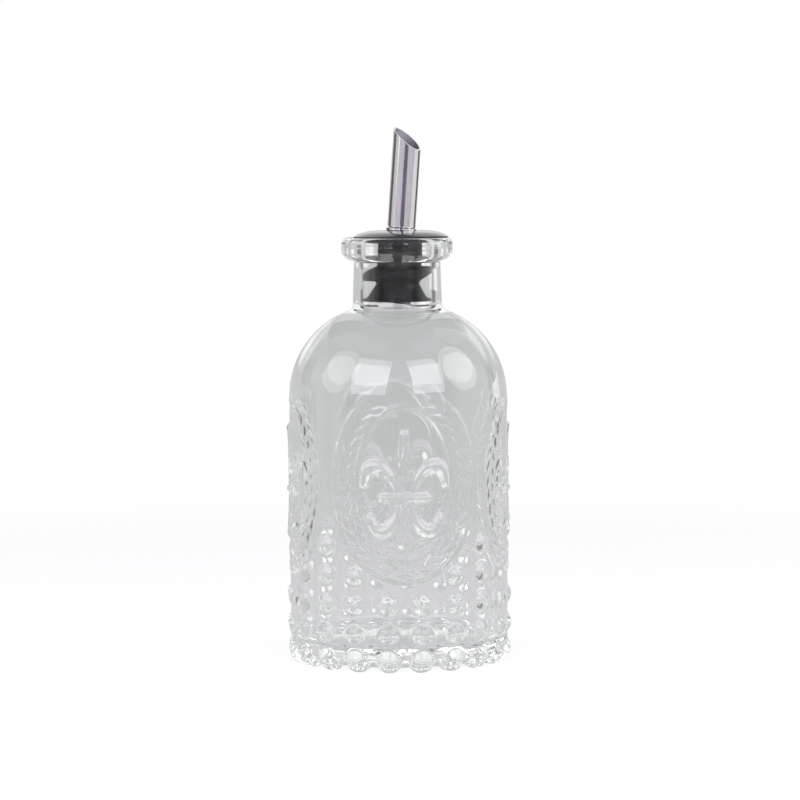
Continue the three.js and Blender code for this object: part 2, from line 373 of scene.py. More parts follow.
@dataclass(frozen=True)
class PressedGlassFinish:
    """Clear pressed glass with a breath of green, mould ripples, draw marks on the lip and wiping marks."""

    tint: Colour = (0.974, 0.982, 0.98)
    index: float = 1.5
    ripple: Grain = Grain(110.0, 1.5)
    ripple_strength: float = 0.12
    ripple_depth: float = 0.00035
    lip_line: Pair = (0.119, 0.1205)
    mark: Grain = Grain(1300.0, 1.0)
    mark_stretch: Triple = (0.03, 0.03, 1.0)
    mark_strength: float = 0.5
    mark_depth: float = 0.00018
    wipe: Grain = Grain(45.0, 4.0, 0.6)
    wipe_range: Pair = (0.48, 0.75)
    wipe_roughness: float = 0.02
    lamp_tint: Colour = (0.90, 0.908, 0.906)
    most_mirrors: float = 2.5
    longest_path: float = 7.5
    long_path_tint: Colour = (0.92, 0.942, 0.932)

    def material(self) -> bpy.types.Material:
        """Wires the glass. Lamps shine straight through it, so that its shadow stays light.

        A ray that has been thrown about inside it for long goes straight out instead of being lost.

        Returns:
            The material.
        """
        material, graph = new_material("clear_pressed_glass")
        place = graph.place()
        ripple = graph.bump(graph.noise(place, self.ripple), self.ripple_strength, self.ripple_depth)
        level = graph.noise(graph.stretched(place, self.mark_stretch), self.mark)
        marks = graph.maths("MULTIPLY", level, graph.ramp(graph.height(place), *self.lip_line))
        drawn = graph.bump(marks, self.mark_strength, self.mark_depth, Normal=ripple)
        wipe = graph.noise(place, self.wipe)
        glass = graph.add("ShaderNodeBsdfPrincipled", {
            "Base Color": self.tint,
            "Roughness": graph.ramp(wipe, *self.wipe_range, 0.0, self.wipe_roughness),
            "IOR": self.index,
            "Transmission Weight": 1.0,
            "Normal": drawn,
        })
        path = graph.add("ShaderNodeLightPath").outputs
        lamp_ray = graph.maths("MAXIMUM", path["Is Shadow Ray"], path["Is Diffuse Ray"])
        lost = graph.maths("MAXIMUM", graph.maths("GREATER_THAN", path["Glossy Depth"], self.most_mirrors),
                           graph.maths("GREATER_THAN", path["Ray Depth"], self.longest_path))
        tint = graph.blend(lost, self.lamp_tint, self.long_path_tint)
        clear = graph.add("ShaderNodeBsdfTransparent", {"Color": tint})
        plain = graph.maths("MAXIMUM", lamp_ray, lost)
        graph.show(graph.add("ShaderNodeMixShader", {0: plain, 1: glass.outputs[0], 2: clear.outputs[0]}))
        return material


@dataclass(frozen=True)
class MouldedRubberFinish:
    """Black moulded rubber: a matt plug with a fine grain and a little dust, and a polished flange painted a
    lighter grey as sheen.
    """

    black: Colour = (0.0035, 0.0039, 0.0052)
    dusty: Colour = (0.010, 0.0115, 0.0145)
    # painted sheen: the lighter grey given to the flange's top
    flange_painted_sheen: Colour = (0.04, 0.041, 0.044)
    dust: Grain = Grain(260.0, 5.0, 0.65)
    dust_range: Pair = (0.5, 0.85)
    polish_and_sheen_line: Pair = (0.1266, 0.12675)
    sheen: Grain = Grain(120.0, 3.0)
    sheen_range: Pair = (0.3, 0.7)
    matt_roughness: Pair = (0.48, 0.62)
    polished_roughness: Pair = (0.06, 0.11)
    grain: Grain = Grain(1600.0)
    grain_strength: Pair = (0.12, 0.01)
    grain_depth: float = 0.0001
    index: float = 1.3
    mirror_level: float = 0.25
    coat_roughness: float = 0.08
    coat_index: float = 1.5

    def material(self) -> bpy.types.Material:
        """Wires the rubber.

        Returns:
            The material.
        """
        material, graph = new_material("black_moulded_rubber")
        place = graph.place()
        dust = graph.ramp(graph.noise(place, self.dust), *self.dust_range)
        # Above this height the flange gets a lighter grey, which is painted sheen, as well as a real coat and
        # lower roughness.
        flange_polish_and_sheen = graph.ramp(graph.height(place), *self.polish_and_sheen_line)
        undusted_with_sheen = graph.blend(flange_polish_and_sheen, self.black, self.flange_painted_sheen)
        colour = graph.blend(dust, undusted_with_sheen, graph.blend(flange_polish_and_sheen, self.dusty, self.flange_painted_sheen))
        sheen = graph.noise(place, self.sheen)
        matt = graph.ramp(sheen, *self.sheen_range, *self.matt_roughness)
        polished = graph.ramp(sheen, *self.sheen_range, *self.polished_roughness)
        drop = graph.maths("MULTIPLY", flange_polish_and_sheen, graph.maths("SUBTRACT", matt, polished))
        strength = graph.ramp(flange_polish_and_sheen, 0.0, 1.0, *self.grain_strength)
        graph.show(graph.add("ShaderNodeBsdfPrincipled", {
            "Base Color": colour,
            "Roughness": graph.maths("SUBTRACT", matt, drop),
            "IOR": self.index,
            "Specular IOR Level": self.mirror_level,
            "Coat Weight": flange_polish_and_sheen,
            "Coat Roughness": self.coat_roughness,
            "Coat IOR": self.coat_index,
            "Normal": graph.bump(graph.noise(place, self.grain), strength, self.grain_depth),
        }))
        return material


@dataclass(frozen=True)
class DrawnSteelFinish:
    """Polished stainless tube with faint lengthwise drawing lines, slight smudges and a rougher bore painted
    darker as shade.
    """

    bright: Colour = (0.76, 0.745, 0.765)
    shaded: Colour = (0.70, 0.685, 0.705)
    roughness: Pair = (0.11, 0.16)
    # painted shade: the darker colour given to the inside of the tube
    bore_painted_shade: Colour = (0.36, 0.345, 0.39)
    bore_roughness: float = 0.55
    lines: Grain = Grain(2600.0, 3.0, 0.6)
    line_stretch: Triple = (1.0, 1.0, 0.012)
    smudge: Grain = Grain(180.0, 3.0)
    line_share: float = 0.6
    smudge_share: float = 0.4
    mark_range: Pair = (0.35, 0.65)
    line_strength: float = 0.006
    line_depth: float = 0.0001

    def material(self) -> bpy.types.Material:
        """Wires the steel.

        Returns:
            The material.
        """
        material, graph = new_material("drawn_steel")
        place = graph.place()
        lines = graph.noise(graph.stretched(place, self.line_stretch), self.lines)
        smudge = graph.noise(place, self.smudge)
        drawn = graph.blend(graph.ramp(lines, *self.mark_range), self.shaded, self.bright)
        marks = graph.maths("ADD", graph.maths("MULTIPLY", lines, self.line_share),
                            graph.maths("MULTIPLY", smudge, self.smudge_share))
        polished = graph.ramp(marks, *self.mark_range, *self.roughness)
        # The bore is made rougher and is painted darker as the shade inside the tube.
        bore = graph.add("ShaderNodeAttribute", attribute_name=BORE_MARK).outputs["Fac"]
        rise = graph.maths("MULTIPLY", bore, graph.maths("SUBTRACT", self.bore_roughness, polished))
        graph.show(graph.add("ShaderNodeBsdfPrincipled", {
            "Base Color": graph.blend(bore, drawn, self.bore_painted_shade),
            "Metallic": 1.0,
            "Roughness": graph.maths("ADD", polished, rise),
            "Normal": graph.bump(lines, self.line_strength, self.line_depth),
        }))
        return material


@dataclass
class PressedBottle:
    """The glass bottle: a revolved wall whose outside carries balls, beads, wreathed ovals and lilies."""

    height: float = 126.45
    body_radius: float = 32.5
    wall: float = 3.0
    underside: float = 1.2
    kick_radius: float = 22.0
    kick_depth: float = 1.8
    floor: float = 5.5
    floor_eye: float = 3.0
    heel: float = 5.5
    floor_fillet: float = 2.6
    shoulder: float = 27.0
    shoulder_fine_turn: float = 15.0
    neck_fillet: float = 2.0
    throat_fillet: float = 4.5
    shoulder_thinning: float = 1.6
    neck_length: float = 13.0
    neck_bottom_radius: float = 13.3
    neck_top_radius: float = 12.9
    lip_height: float = 6.9
    lip_radius: float = 16.6
    lip_top_round: float = 2.0
    lip_bottom_oval: Pair = (3.6, 3.2)
    lip_fillet: float = 0.35
    lip_turns: Pair = (100.0, -86.0)
    bore: float = 10.4
    mouth_oval: Pair = (0.6, 1.6)
    columns: int = 20
    foot_top: float = 10.0
    foot_from: float = 23.0
    ball_radius: float = 4.0
    ball_reach: float = 0.95
    ball_sink: float = 0.2
    ball_fillet: float = 0.55
    bead_radius: float = 2.75
    bead_height: float = 1.22
    bead_fillet: float = 0.5
    bead_rows: tuple[float, ...] = (11.3, 19.9, 28.5, 37.1)
    relief_heights: Pair = (7.0, 88.0)
    relief_from: float = 30.0
    medallions: int = 4
    outer_oval: Pair = (21.73, 28.5)
    inner_oval: Pair = (14.43, 22.5)
    oval_centre: float = 56.0
    ridge_half_width: float = 0.8
    ridge_fullness: float = 2.4
    ridge_heights: Pair = (0.34, 0.42)
    run_out: Pair = (0.66, 0.88)
    leaf_length: float = 7.2
    leaf_width: float = 2.9
    leaf_pitch: float = 4.3
    leaf_slant: float = 24.0
    leaf_offset: float = 1.5
    leaf_height: float = 0.36
    leaf_powers: Pair = (0.8, 0.3)
    wreath_ends: Pair = (0.5, 0.3)
    wreath_points: int = 721
    petal_height: float = 0.88
    petal_points: int = 60
    ripple: float = 0.03
    inner_ripple: float = 0.14
    ripple_start: Pair = (7.0, 14.0)
    ripple_end: Pair = (92.0, 102.0)
    steps_round: int = 360
    finish: PressedGlassFinish = field(default_factory=PressedGlassFinish)

    def shoulder_turn(self) -> Pair:
        """Finds the shoulder's arc, which the neck's fillet touches from outside.

        Returns:
            The height at which the arc starts, and the angle in degrees at which it meets the fillet.
        """
        reach = self.shoulder + self.neck_fillet
        centre = self.body_radius - self.shoulder
        end = acos((self.neck_bottom_radius + self.neck_fillet - centre) / reach)
        return self.height - self.lip_height - self.neck_length - reach * sin(end), degrees(end)

    def outside(self) -> np.ndarray:
        """The blank's outside from near the middle of the underside to the top of the lip.

        Returns:
            Rows of (radius, height).
        """
        start, turn = self.shoulder_turn()
        centre = (self.body_radius - self.shoulder, start)
        kick = line((0.0, 0.0), (self.kick_radius, 0.0), 6)[1:]
        kick[:, 1] = self.underside + self.kick_depth * (1 - (kick[:, 0] / self.kick_radius) ** 2)
        heel = (self.body_radius - self.heel, self.underside + self.heel)
        lip_bottom = self.height - self.lip_height
        neck_bottom = lip_bottom - self.neck_length
        neck_round = (self.neck_bottom_radius + self.neck_fillet, neck_bottom)
        fillet = self.lip_fillet
        lip_low = (self.lip_radius - self.lip_bottom_oval[0], lip_bottom + self.lip_bottom_oval[1])
        lip_high = (self.lip_radius - self.lip_top_round, self.height - self.lip_top_round)
        return chain(
            kick,
            line((self.kick_radius, self.underside), (heel[0], self.underside), 8),
            arc(heel, self.heel, -90, 0, 20),
            line((self.body_radius, heel[1]), (self.body_radius, start), 125),
            arc(centre, self.shoulder, 0, self.shoulder_fine_turn, 11),
            arc(centre, self.shoulder, self.shoulder_fine_turn, turn, 14),
            arc(neck_round, self.neck_fillet, 180 + turn, 180, 4),
            line((self.neck_bottom_radius, neck_bottom), (self.neck_top_radius, lip_bottom - fillet), 6),
            arc((self.neck_top_radius + fillet, lip_bottom - fillet), fillet, 180, self.lip_turns[0], 3),
            arc(lip_low, self.lip_bottom_oval, self.lip_turns[1], 0, 12),
            arc(lip_high, self.lip_top_round, 0, 90, 10),
        )

    def inside(self) -> np.ndarray:
        """The hollow from the mouth's round through throat and shoulder to near the middle of the floor.

        Returns:
            Rows of (radius, height).
        """
        floor = self.underside + self.floor
        inner = self.body_radius - self.wall
        inner_arc = self.shoulder - self.wall
        centre = (self.body_radius - self.shoulder, self.shoulder_turn()[0] + self.shoulder_thinning)
        reach = inner_arc + self.throat_fillet
        end = acos((self.bore + self.throat_fillet - centre[0]) / reach)
        throat = centre[1] + reach * sin(end)
        turn = degrees(end)
        mouth = (self.bore + self.mouth_oval[0], self.height - self.mouth_oval[1])
        return chain(
            arc(mouth, self.mouth_oval, 90, 180, 10),
            line((self.bore, mouth[1]), (self.bore, throat), 4),
            arc((self.bore + self.throat_fillet, throat), self.throat_fillet, 180, 180 + turn, 10),
            arc(centre, inner_arc, turn, 0, 12),
            line((inner, centre[1]), (inner, floor + self.floor_fillet), 8),
            arc((inner - self.floor_fillet, floor + self.floor_fillet), self.floor_fillet, 0, -90, 6),
            line((inner - self.floor_fillet, floor), (self.floor_eye, floor), 4),
        )

    def bead_relief(self, x: np.ndarray, y: np.ndarray) -> np.ndarray:
        """Beads: caps of a sphere, sqrt(R^2 - d^2) less the depth of its centre, filleted into the wall.

        Args:
            x: way round the wall from the medallion's middle.
            y: height above the medallion's middle.

        Returns:
            Heights above the wall.
        """
        ball = (self.bead_radius ** 2 + self.bead_height ** 2) / (2 * self.bead_height)
        pitch = 2 * pi * self.body_radius / self.columns
        share = self.columns // self.medallions
        across = (np.arange(share + 1) - share / 2) * pitch
        bx, by = (g.ravel() for g in np.meshgrid(across, np.array(self.bead_rows) - self.oval_centre))
        half_width, half_height = (half + self.bead_radius for half in self.outer_oval)
        free = np.hypot(bx / half_width, by / half_height) > 1
        gap2 = (x[..., None] - bx[free]) ** 2 + (y[..., None] - by[free]) ** 2
        cap = np.sqrt(np.clip(ball ** 2 - gap2, 0, None)) - (ball - self.bead_height)
        return filleted(cap.max(axis=-1), self.bead_fillet)

    def oval_relief(self, x: np.ndarray, y: np.ndarray) -> np.ndarray:
        """Oval lines: a bell curve of the distance to each oval, about f(f - 1) / |grad f|.

        Args:
            x: way round the wall from the medallion's middle.
            y: height above the medallion's middle.

        Returns:
            Heights above the wall.
        """
        lines = []
        for (a, b), height in zip((self.outer_oval, self.inner_oval), self.ridge_heights):
            f = np.hypot(x / a, y / b) + TINY
            slope = np.hypot(x / a ** 2, y / b ** 2) + TINY
            gap = f * (f - 1) / slope
            lines.append(height * np.exp(-(np.abs(gap) / self.ridge_half_width) ** self.ridge_fullness))
        return np.max(lines, axis=0)

    def wreath_relief(self, x: np.ndarray, y: np.ndarray) -> np.ndarray:
        """Leaves along the oval midway between the lines, slanting off to both sides, each a pointed lens.

        A leaf's height falls from its middle to its edge as 1 - (v / w)^2, where the half-width w follows
        a power of 1 - u^2 along it. The right half is worked out and the left half mirrors it.

        Args:
            x: way round the wall from the medallion's middle.
            y: height above the medallion's middle.

        Returns:
            Heights above the wall.
        """
        a, b = ((outer + inner) / 2 for outer, inner in zip(self.outer_oval, self.inner_oval))
        turn = np.linspace(-pi / 2, pi / 2, self.wreath_points)
        path = np.column_stack([a * np.cos(turn), b * np.sin(turn)])
        run = np.concatenate([[0], np.cumsum(np.linalg.norm(np.diff(path, axis=0), axis=1))])
        first, last = self.wreath_ends[0] * self.leaf_pitch, run[-1] - self.wreath_ends[1] * self.leaf_length
        stations = np.arange(first, last, self.leaf_pitch / 2)
        side = np.where(np.arange(len(stations)) % 2 == 0, 1.0, -1.0)
        t = np.interp(stations, run, turn)
        heading = np.arctan2(b * np.cos(t), -a * np.sin(t))
        normal = heading - pi / 2
        dx = np.abs(x)[..., None] - (a * np.cos(t) + side * self.leaf_offset * np.cos(normal))
        dy = y[..., None] - (b * np.sin(t) + side * self.leaf_offset * np.sin(normal))
        lie = heading - side * radians(self.leaf_slant)
        u = (dx * np.cos(lie) + dy * np.sin(lie)) / (self.leaf_length / 2)
        v = -dx * np.sin(lie) + dy * np.cos(lie)
        width = self.leaf_width / 2 * np.clip(1 - u ** 2, CLOSE, None) ** self.leaf_powers[0]
        ridge = np.clip(1 - (v / width) ** 2, 0, 1) * np.clip(1 - u ** 2, 0, 1) ** self.leaf_powers[1]
        return self.leaf_height * ridge.max(axis=-1)

    def petal(self, x: np.ndarray, y: np.ndarray, spine: np.ndarray, widths: np.ndarray,
              heights: np.ndarray) -> np.ndarray:
        """A pillow along a spine: the greatest h (1 - q^2), q being the way to a spine point over w."""
        gap2 = (x[..., None] - spine[:, 0]) ** 2 + (y[..., None] - spine[:, 1]) ** 2
        return (heights * np.clip(1 - gap2 / widths ** 2, 0, 1)).max(axis=-1)

    def lily_relief(self, x: np.ndarray, y: np.ndarray) -> np.ndarray:
        """The lily: upright bud, curling side petals, band, tails and hanging drop, the left half mirrored.

        Args:
            x: way round the wall from the medallion's middle.
            y: height above the medallion's middle.

        Returns:
            Heights above the wall.
        """
        across = np.abs(x)
        t = np.linspace(0, 1, self.petal_points)
        even = np.ones(self.petal_points)
        bulb = np.clip(np.sin(pi * np.clip(t * 0.84 + 0.04, 0, 1) ** 1.3), 0.05, None) ** 0.7
        bud = np.column_stack([0 * t, 3.0 + 11.2 * t])
        drop = np.column_stack([0 * t, -7.0 - 10.6 * t])
        band = np.column_stack([13.2 * (t - 0.5), -4.4 * even])
        curl = bezier(((2.2, -3.2), (4.0, 5.0), (12.0, 8.6), (12.3, -0.4)), self.petal_points)
        tail = bezier(((1.8, -5.6), (2.4, -14.2), (9.2, -17.6), (10.2, -10.2)), self.petal_points)
        parts = [
            self.petal(across, y, bud, 2.5 - 1.3 * t, 0.55 + 0.5 * t ** 3),
            self.petal(across, y, drop, 0.7 + 1.5 * t ** 2, 0.3 + 0.75 * t),
            self.petal(x, y, band, 1.2 * even, 1.1 * even),
            self.petal(across, y, curl, 2.2 * bulb, 0.6 + 0.4 * smooth_step(t, 0.1, 0.45)),
            self.petal(across, y, tail, 2.0 * bulb, 0.6 + 0.4 * smooth_step(t, 0.15, 0.5)),
        ]
        return self.petal_height * np.max(parts, axis=0)

    def ball_relief(self, angle: np.ndarray, outline: np.ndarray, normal: np.ndarray) -> np.ndarray:
        """Foot balls: how far each normal of the heel runs before it leaves the nearest ball, filleted.

        From p along n the way out of a ball round c is -b + sqrt(b^2 - |p - c|^2 + R^2), b = (p - c).n.

        Args:
            angle: angles round the axis from a ball's middle.
            outline: rows of (radius, height) of the blank.
            normal: rows of the outline's outward normals.

        Returns:
            Heights along the normals, one row for each point of the outline.
        """
        circle = self.body_radius + self.ball_reach - self.ball_radius
        spread = 2 * pi / self.columns
        near = (angle + spread / 2) % spread - spread / 2
        c, s = np.cos(near)[None, :], np.sin(near)[None, :]
        r, z = outline[:, :1], outline[:, 1:]
        nr, nz = normal[:, :1], normal[:, 1:]
        px, py, pz = r * c - circle, r * s, z - (self.ball_radius - self.ball_sink)
        b = px * nr * c + py * nr * s + pz * nz
        away = px ** 2 + py ** 2 + pz ** 2 - self.ball_radius ** 2
        out = -b + np.sqrt(np.clip(b ** 2 - away, 0, None))
        return filleted(np.where(b ** 2 > away, out, -1.0), self.ball_fillet)

    def waves(self, angle: np.ndarray, height: np.ndarray) -> np.ndarray:
        """Slow unevenness of the glass: four sine waves round and up the wall, together between -1 and 1.

        Args:
            angle: angles round the axis.
            height: heights.

        Returns:
            One row for each height.
        """
        z = height[:, None] / 10
        waves = np.sin(3 * angle + 0.9 * z) + np.sin(5 * angle - 1.4 * z + 1.0)
        waves = waves + np.sin(2 * angle + 2.1 * z + 2.0) + np.sin(7 * angle + 0.6 * z + 4.0)
        return waves / 4

    def surface(self) -> np.ndarray:
        """The whole skin on a grid: outline along one parameter, angle along the other.

        The outside moves along its normals by the relief and a slight ripple, the inside by a stronger one.

        Returns:
            Points as rings x columns x 3.
        """
        outside, inside = self.outside(), self.inside()
        outline = np.concatenate([outside, inside])
        normal = outward(outline)
        count = len(outside)
        radius, height = outside.T
        angle = np.radians(np.arange(self.steps_round) * 360 / self.steps_round - 180 / self.medallions)
        part = angle[: self.steps_round // self.medallions]
        low, high = self.relief_heights
        worked = (height > low) & (height < high) & (radius > self.relief_from)
        above = height[worked, None] - self.oval_centre
        x, y = np.broadcast_arrays(self.body_radius * part[None, :], above)
        open_top = 1 - smooth_step(y / self.outer_oval[1], *self.run_out)
        wreath = open_top * np.maximum(self.oval_relief(x, y), self.wreath_relief(x, y))
        relief = np.maximum.reduce([wreath, self.bead_relief(x, y), self.lily_relief(x, y)])
        lift = np.zeros((len(outline), self.steps_round))
        lift[:count][worked] = np.tile(relief, (1, self.medallions))
        foot = (height < self.foot_top) & (radius > self.foot_from)
        balls = self.ball_relief(angle - pi / self.columns, outside[foot], normal[:count][foot])
        lift[:count][foot] = np.maximum(lift[:count][foot], balls)
        level = outline[:, 1]
        plain = smooth_step(level, *self.ripple_start) * (1 - smooth_step(level, *self.ripple_end))
        depth = np.where(np.arange(len(outline)) < count, self.ripple, self.inner_ripple)
        lift = lift + (plain * depth)[:, None] * self.waves(angle, level)
        r = outline[:, :1] + normal[:, :1] * lift
        z = np.clip(outline[:, 1:] + normal[:, 1:] * lift, 0.0, self.height)
        return np.stack([r * np.cos(angle), r * np.sin(angle), z], axis=-1)

    def build(self) -> None:
        """Closes the skin at both poles with fans of triangles and seats it as the bottle."""
        rings = self.surface()
        rows, columns, _ = rings.shape
        points = rings.reshape(-1, 3)
        poles = [[0.0, 0.0, self.underside + self.kick_depth], [0.0, 0.0, self.underside + self.floor]]
        under, over = len(points), len(points) + 1
        j = np.arange(columns)
        on = (j + 1) % columns
        top = (rows - 1) * columns
        fans = np.concatenate([
            np.column_stack([np.full(columns, under), on, j]),
            np.column_stack([top + j, top + on, np.full(columns, over)]),
        ])
        quads = ring_quads(rows, columns, False)
        piece = mesh_object("bottle_glass", np.concatenate([points, poles]), quads, fans)
        seat(piece, Body.BOTTLE, "glass_bottle", self.finish.material())


@dataclass
class LeaningAxis:
    """The spout's axis, which crosses the neck's axis and leans towards +X."""

    crossing: float = 110.3
    lean: float = 4.1

    def offset(self, height: np.ndarray) -> np.ndarray:
        """How far the axis is from the neck's at a height."""
        return tan(radians(self.lean)) * (height - self.crossing)

    def tipped(self, points: np.ndarray) -> np.ndarray:
        """Turns points drawn along an upright axis, from the crossing up, onto the leaning one.

        Args:
            points: any grid of (x, y, z).

        Returns:
            The grid, turned and moved.
        """
        c, s = cos(radians(self.lean)), sin(radians(self.lean))
        x, y, z = points[..., 0], points[..., 1], points[..., 2]
        return np.stack([c * x + s * z, y, self.crossing - s * x + c * z], axis=-1)


@dataclass
class FinnedStopper:
    """The rubber stopper: a domed flange on the lip, a leaning core, two fins and a flaring skirt.

    The skirt's rows are (height from the seat, share of the way to the bore). The fins' rows are (depth,
    tilt, half-thickness at the root, half-thickness at the tip).
    """

    seat_height: float = 126.02
    bore: float = 10.36
    core: float = 6.6
    tube_hole: float = 4.26
    flange_radius: float = 14.2
    flange_bottom: float = 0.45
    flange_edge: float = 0.68
    flange_height: float = 2.52
    flange_fullness: float = 5.2
    flange_dip: float = 0.35
    flange_dip_width: float = 1.5
    ring_seat: float = 4.95
    skirt: tuple[Pair, ...] = (
        (-18.3, 0.0), (-18.15, 0.55), (-18.5, 0.97), (-18.5, 1.0), (-18.0, 1.0),
        (-17.85, 0.95), (-17.5, 0.6), (-16.5, 0.42), (-15.1, 0.2), (-14.0, 0.0),
    )
    fins: tuple[Four, ...] = ((10.3, 1.2, 2.7, 1.15), (5.0, 0.1, 1.0, 0.45))
    corner_rounds: int = 2
    steps_round: int = 160
    axis: LeaningAxis = field(default_factory=LeaningAxis)
    finish: MouldedRubberFinish = field(default_factory=MouldedRubberFinish)

    def corners(self) -> np.ndarray:
        """The closed outline's corners before rounding, counter-clockwise from the bottom of the hole.

        Returns:
            Rows of (radius, height from the seat, share of the way to the bore, tilt, share of the lean).
        """
        core, hole, rim, ring = self.core, self.tube_hole, self.flange_radius, self.ring_seat
        below, edge = self.flange_bottom, self.flange_edge
        dome = np.linspace(rim - 0.35, ring + 0.3, 12)
        fall = (dome / rim) ** self.flange_fullness
        dip = self.flange_dip * np.exp(-((dome - ring) / self.flange_dip_width) ** 2)
        crown = edge + (self.flange_height - edge) * (1 - fall) - dip
        fins = []
        for depth, tilt, root, tip in self.fins:
            middle = 0.5 * (root + tip)
            half = [(root, 0.0), (0.85 * root, 0.08), (middle, 0.4), (tip, 0.9), (0.75 * tip, 1.0)]
            fins += [(core, -thick - depth, share, tilt, 0.0) for thick, share in half]
            fins += [(core, thick - depth, share, tilt, 0.0) for thick, share in reversed(half)]
        foot = ((hole, -17.9), (hole, -18.2), (core - 1.2, -18.35))
        flange = (
            (core, -1.2), (core + 0.1, below - 0.3), (core + 0.9, below), (rim - 1.2, below),
            (rim - 0.2, below), (rim, below + 0.05), (rim, edge - 0.05), *zip(dome, crown),
        )
        socket = (
            (ring, 1.75), (ring - 0.1, 1.55), (hole + 0.1, 1.5), (hole, 1.3), (hole, -3.0), (hole, -9.0),
            (hole, -15.0),
        )
        return np.array([
            *((r, h, 0.0, 0.0, 1.0) for r, h in foot),
            *((core, h, share, 0.0, 0.0) for h, share in self.skirt),
            (core - 0.2, -13.5, 0.0, 0.0, 0.0),
            *fins,
            *((r, h, 0.0, 0.0, 0.0) for r, h in flange),
            *((r, h, 0.0, 0.0, 1.0) for r, h in socket),
        ])

    def surface(self) -> np.ndarray:
        """The rounded outline carried round the leaning axis in level rings.

        A fin's radius goes from the core's to the bore's, which is the root of |axis + d| = bore in each
        direction, by its share. Heights shift by the tilt times that share, and near the tube by the lean.

        Returns:
            Points as rings x columns x 3.
        """
        outline = corner_cut(self.corners(), self.corner_rounds)
        radius, height, share, tilt, leaning = (column[:, None] for column in outline.T)
        angle = np.linspace(0, 2 * pi, self.steps_round, endpoint=False)[None, :]
        level = self.seat_height + height
        middle = self.axis.offset(level)
        to_bore = -middle * np.cos(angle) + np.sqrt(self.bore ** 2 - (middle * np.sin(angle)) ** 2)
        r = radius + share * (to_bore - self.core)
        slope = tan(radians(self.axis.lean))
        z = level + tilt * share * np.cos(angle) - leaning * slope * r * np.cos(angle)
        return np.stack([middle + r * np.cos(angle), r * np.sin(angle), z], axis=-1)

    def build(self) -> None:
        """Meshes the stopper and seats it."""
        piece = ring_object("stopper_rubber", self.surface())
        seat(piece, Body.STOPPER, "rubber_stopper", self.finish.material())


@dataclass
class SlantedSpout:
    """The steel tube: a collar under the rubber, a swaged ring on the flange and a slanting cut beak."""

    tube: float = 4.2
    tube_wall: float = 0.5
    rise: float = 48.8
    beak_angle: float = 38.0
    beak_heading: float = -31.0
    collar: float = 5.85
    collar_end: float = 5.1
    collar_top: float = -3.1
    collar_height: float = 1.2
    ring_proud: float = 0.4
    ring_bottom: float = 17.8
    ring_height: float = 1.2
    ring_fullness: float = 0.7
    edge: float = 0.09
    bore_ends: Pair = (0.5, 0.6)
    steps_round: int = 160
    axis: LeaningAxis = field(default_factory=LeaningAxis)
    finish: DrawnSteelFinish = field(default_factory=DrawnSteelFinish)

    def outline(self) -> np.ndarray:
        """The closed outline along the tube's axis, from the bottom of the bore counter-clockwise.

        Returns:
            Rows of (radius, distance along the axis, share of the way from there to the beak's cut).
        """
        inner = self.tube - self.tube_wall
        bottom = self.collar_top - self.collar_height
        ring_top = self.ring_bottom + self.ring_height
        edge = self.edge
        swell = np.radians(np.linspace(0, 180, 15))
        ring = np.column_stack([
            self.tube + self.ring_proud * np.sin(swell) ** self.ring_fullness,
            self.ring_bottom + self.ring_height / 2 * (1 - np.cos(swell)),
        ])
        lower = chain(
            line((inner, bottom + edge), (inner + edge, bottom), 2),
            line((inner + edge, bottom), (self.collar_end - edge, bottom), 3),
            line((self.collar_end - edge, bottom), (self.collar_end, bottom + edge), 2),
            line((self.collar_end, bottom + edge), (self.collar, self.collar_top - 2 * edge), 4),
            arc((self.collar - 2 * edge, self.collar_top - 2 * edge), 2 * edge, 0, 90, 3),
            line((self.collar - 2 * edge, self.collar_top), (self.tube + edge, self.collar_top), 3),
            line((self.tube, self.collar_top + edge), (self.tube, self.ring_bottom), 8),
            ring,
        )
        along = np.concatenate([np.linspace(0.02, 0.96, 14), [0.985, 0.995]])
        rim = [
            (self.tube, 0.9985), (self.tube - 0.3 * edge, 0.9996), (self.tube - edge, 1.0),
            (inner + edge, 1.0), (inner + 0.3 * edge, 0.9996), (inner, 0.9985),
        ]
        radius, share = np.concatenate([
            np.column_stack([np.full(len(along), self.tube), along]),
            rim,
            np.column_stack([np.full(len(along), inner), along[::-1]]),
        ]).T
        upper = np.column_stack([radius, np.full(len(radius), ring_top), share])
        down = line((inner, ring_top - self.bore_ends[0]), (inner, bottom + self.bore_ends[1]), 10)
        return np.concatenate([np.pad(lower, ((0, 0), (0, 1))), upper, np.pad(down, ((0, 0), (0, 1)))])

    def surface(self) -> np.ndarray:
        """The outline turned about the axis, its upper part stretched to the slanting cut, then leaned.

        The cut is the plane s = rise - tan(beak angle) (x cos h + y sin h + R), h being the beak's heading.

        Returns:
            Points as rings x columns x 3.
        """
        radius, start, share = (column[:, None] for column in self.outline().T)
        angle = np.linspace(0, 2 * pi, self.steps_round, endpoint=False)[None, :]
        x, y = radius * np.cos(angle), radius * np.sin(angle)
        heading = radians(self.beak_heading)
        cut = self.rise - tan(radians(self.beak_angle)) * (x * cos(heading) + y * sin(heading) + self.tube)
        return self.axis.tipped(np.stack([x, y, start + share * (cut - start)], axis=-1))

    def build(self) -> None:
        """Meshes the spout, marks its bore and seats it."""
        piece = ring_object("spout_steel", self.surface())
        inside = self.outline()[:, 0] < self.tube - self.tube_wall + CLOSE
        mark = piece.data.attributes.new(BORE_MARK, "FLOAT", "POINT")
        mark.data.foreach_set("value", np.repeat(inside, self.steps_round).astype(np.float32))
        seat(piece, Body.SPOUT, "spout_tube", self.finish.material())


